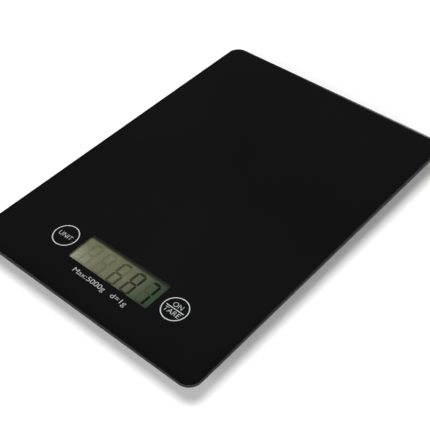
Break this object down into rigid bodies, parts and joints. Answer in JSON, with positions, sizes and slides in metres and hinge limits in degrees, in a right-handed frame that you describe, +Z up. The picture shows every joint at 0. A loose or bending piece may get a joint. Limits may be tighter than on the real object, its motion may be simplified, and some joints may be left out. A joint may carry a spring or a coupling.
{
  "type": "kitchen scale",
  "caption": "Slim kitchen scale: a black-backed glass platform with a display window and touch keys, on sprung load-cell feet, with a hinged coin-cell door.",
  "frame": {"origin": "on the table under the middle of the platform", "axes": "+X to the right as the display is read, +Y away from the display edge, +Z up"},
  "size_m": [0.165, 0.23, 0.016],
  "materials": {
    "platform_glass": "clear tempered float glass, ground bevel, black print on its back",
    "housing_plastic": "fine spark-eroded texture, black ABS",
    "inner_plastic": "moulded, black",
    "foot_rubber": "matt, ringed",
    "foam": "closed-cell foam",
    "load_cell_steel": "stamped sheet steel",
    "gauge_coating": "white silicone",
    "lead_insulation": "thin soft insulation",
    "cell_can": "nickel-plated",
    "contact_metal": "nickel-plated spring strip",
    "board_laminate": "green solder mask over laminate",
    "chip_epoxy": "cured epoxy",
    "component_ceramic": "chip parts",
    "lcd_glass": "display glass",
    "lcd_film": "polarising film, olive grey",
    "zebra_rubber": "layered conductive rubber",
    "screw_steel": "zinc-plated"
  },
  "bodies": {
    "scale": {"platform_glass": "platform_glass", "upper_frame": "housing_plastic", "bottom_cover": "housing_plastic", "lcd_holder": "inner_plastic", "bond_tape": "foam", "display_gasket": "foam", "touch_pillar_unit": "foam", "touch_pillar_tare": "foam", "sensor_leads_front_left": "lead_insulation", "sensor_leads_front_right": "lead_insulation", "sensor_leads_rear_left": "lead_insulation", "sensor_leads_rear_right": "lead_insulation", "battery_leads": "lead_insulation", "coin_cell": "cell_can", "contact_negative": "contact_metal", "contact_positive": "contact_metal", "main_board": "board_laminate", "chip_blob": "chip_epoxy", "board_components": "component_ceramic", "lcd_panel": "lcd_glass", "lcd_polariser": "lcd_film", "lcd_reflector": "lcd_film", "zebra_strip": "zebra_rubber", "cover_screws": "screw_steel", "board_screws": "screw_steel"},
    "foot_front_left": {"foot_cup_front_left": "inner_plastic", "foot_pad_front_left": "foot_rubber", "load_cell_front_left": "load_cell_steel", "strain_gauge_front_left": "gauge_coating"},
    "foot_front_right": {"foot_cup_front_right": "inner_plastic", "foot_pad_front_right": "foot_rubber", "load_cell_front_right": "load_cell_steel", "strain_gauge_front_right": "gauge_coating"},
    "foot_rear_left": {"foot_cup_rear_left": "inner_plastic", "foot_pad_rear_left": "foot_rubber", "load_cell_rear_left": "load_cell_steel", "strain_gauge_rear_left": "gauge_coating"},
    "foot_rear_right": {"foot_cup_rear_right": "inner_plastic", "foot_pad_rear_right": "foot_rubber", "load_cell_rear_right": "load_cell_steel", "strain_gauge_rear_right": "gauge_coating"},
    "door": {"battery_door": "housing_plastic"}
  },
  "joints": [
    {"name": "foot_travel_front_left", "type": "slide", "parent": "scale", "child": "foot_front_left", "axis": [0, 0, 1], "range_m": [0, 0.0005], "stiffness_N_per_m": 2000, "springref_m": -0.0007, "deforming": ["load_cell_front_left"]},
    {"name": "foot_travel_front_right", "type": "slide", "parent": "scale", "child": "foot_front_right", "axis": [0, 0, 1], "range_m": [0, 0.0005], "stiffness_N_per_m": 2000, "springref_m": -0.0007, "deforming": ["load_cell_front_right"]},
    {"name": "foot_travel_rear_left", "type": "slide", "parent": "scale", "child": "foot_rear_left", "axis": [0, 0, 1], "range_m": [0, 0.0005], "stiffness_N_per_m": 2000, "springref_m": -0.0007, "deforming": ["load_cell_rear_left"]},
    {"name": "foot_travel_rear_right", "type": "slide", "parent": "scale", "child": "foot_rear_right", "axis": [0, 0, 1], "range_m": [0, 0.0005], "stiffness_N_per_m": 2000, "springref_m": -0.0007, "deforming": ["load_cell_rear_right"]},
    {"name": "door_hinge", "type": "hinge", "parent": "scale", "child": "door", "pos_m": [0, 0.043, 0.0042], "axis": [1, 0, 0], "range_deg": [0, 90]}
  ]
}
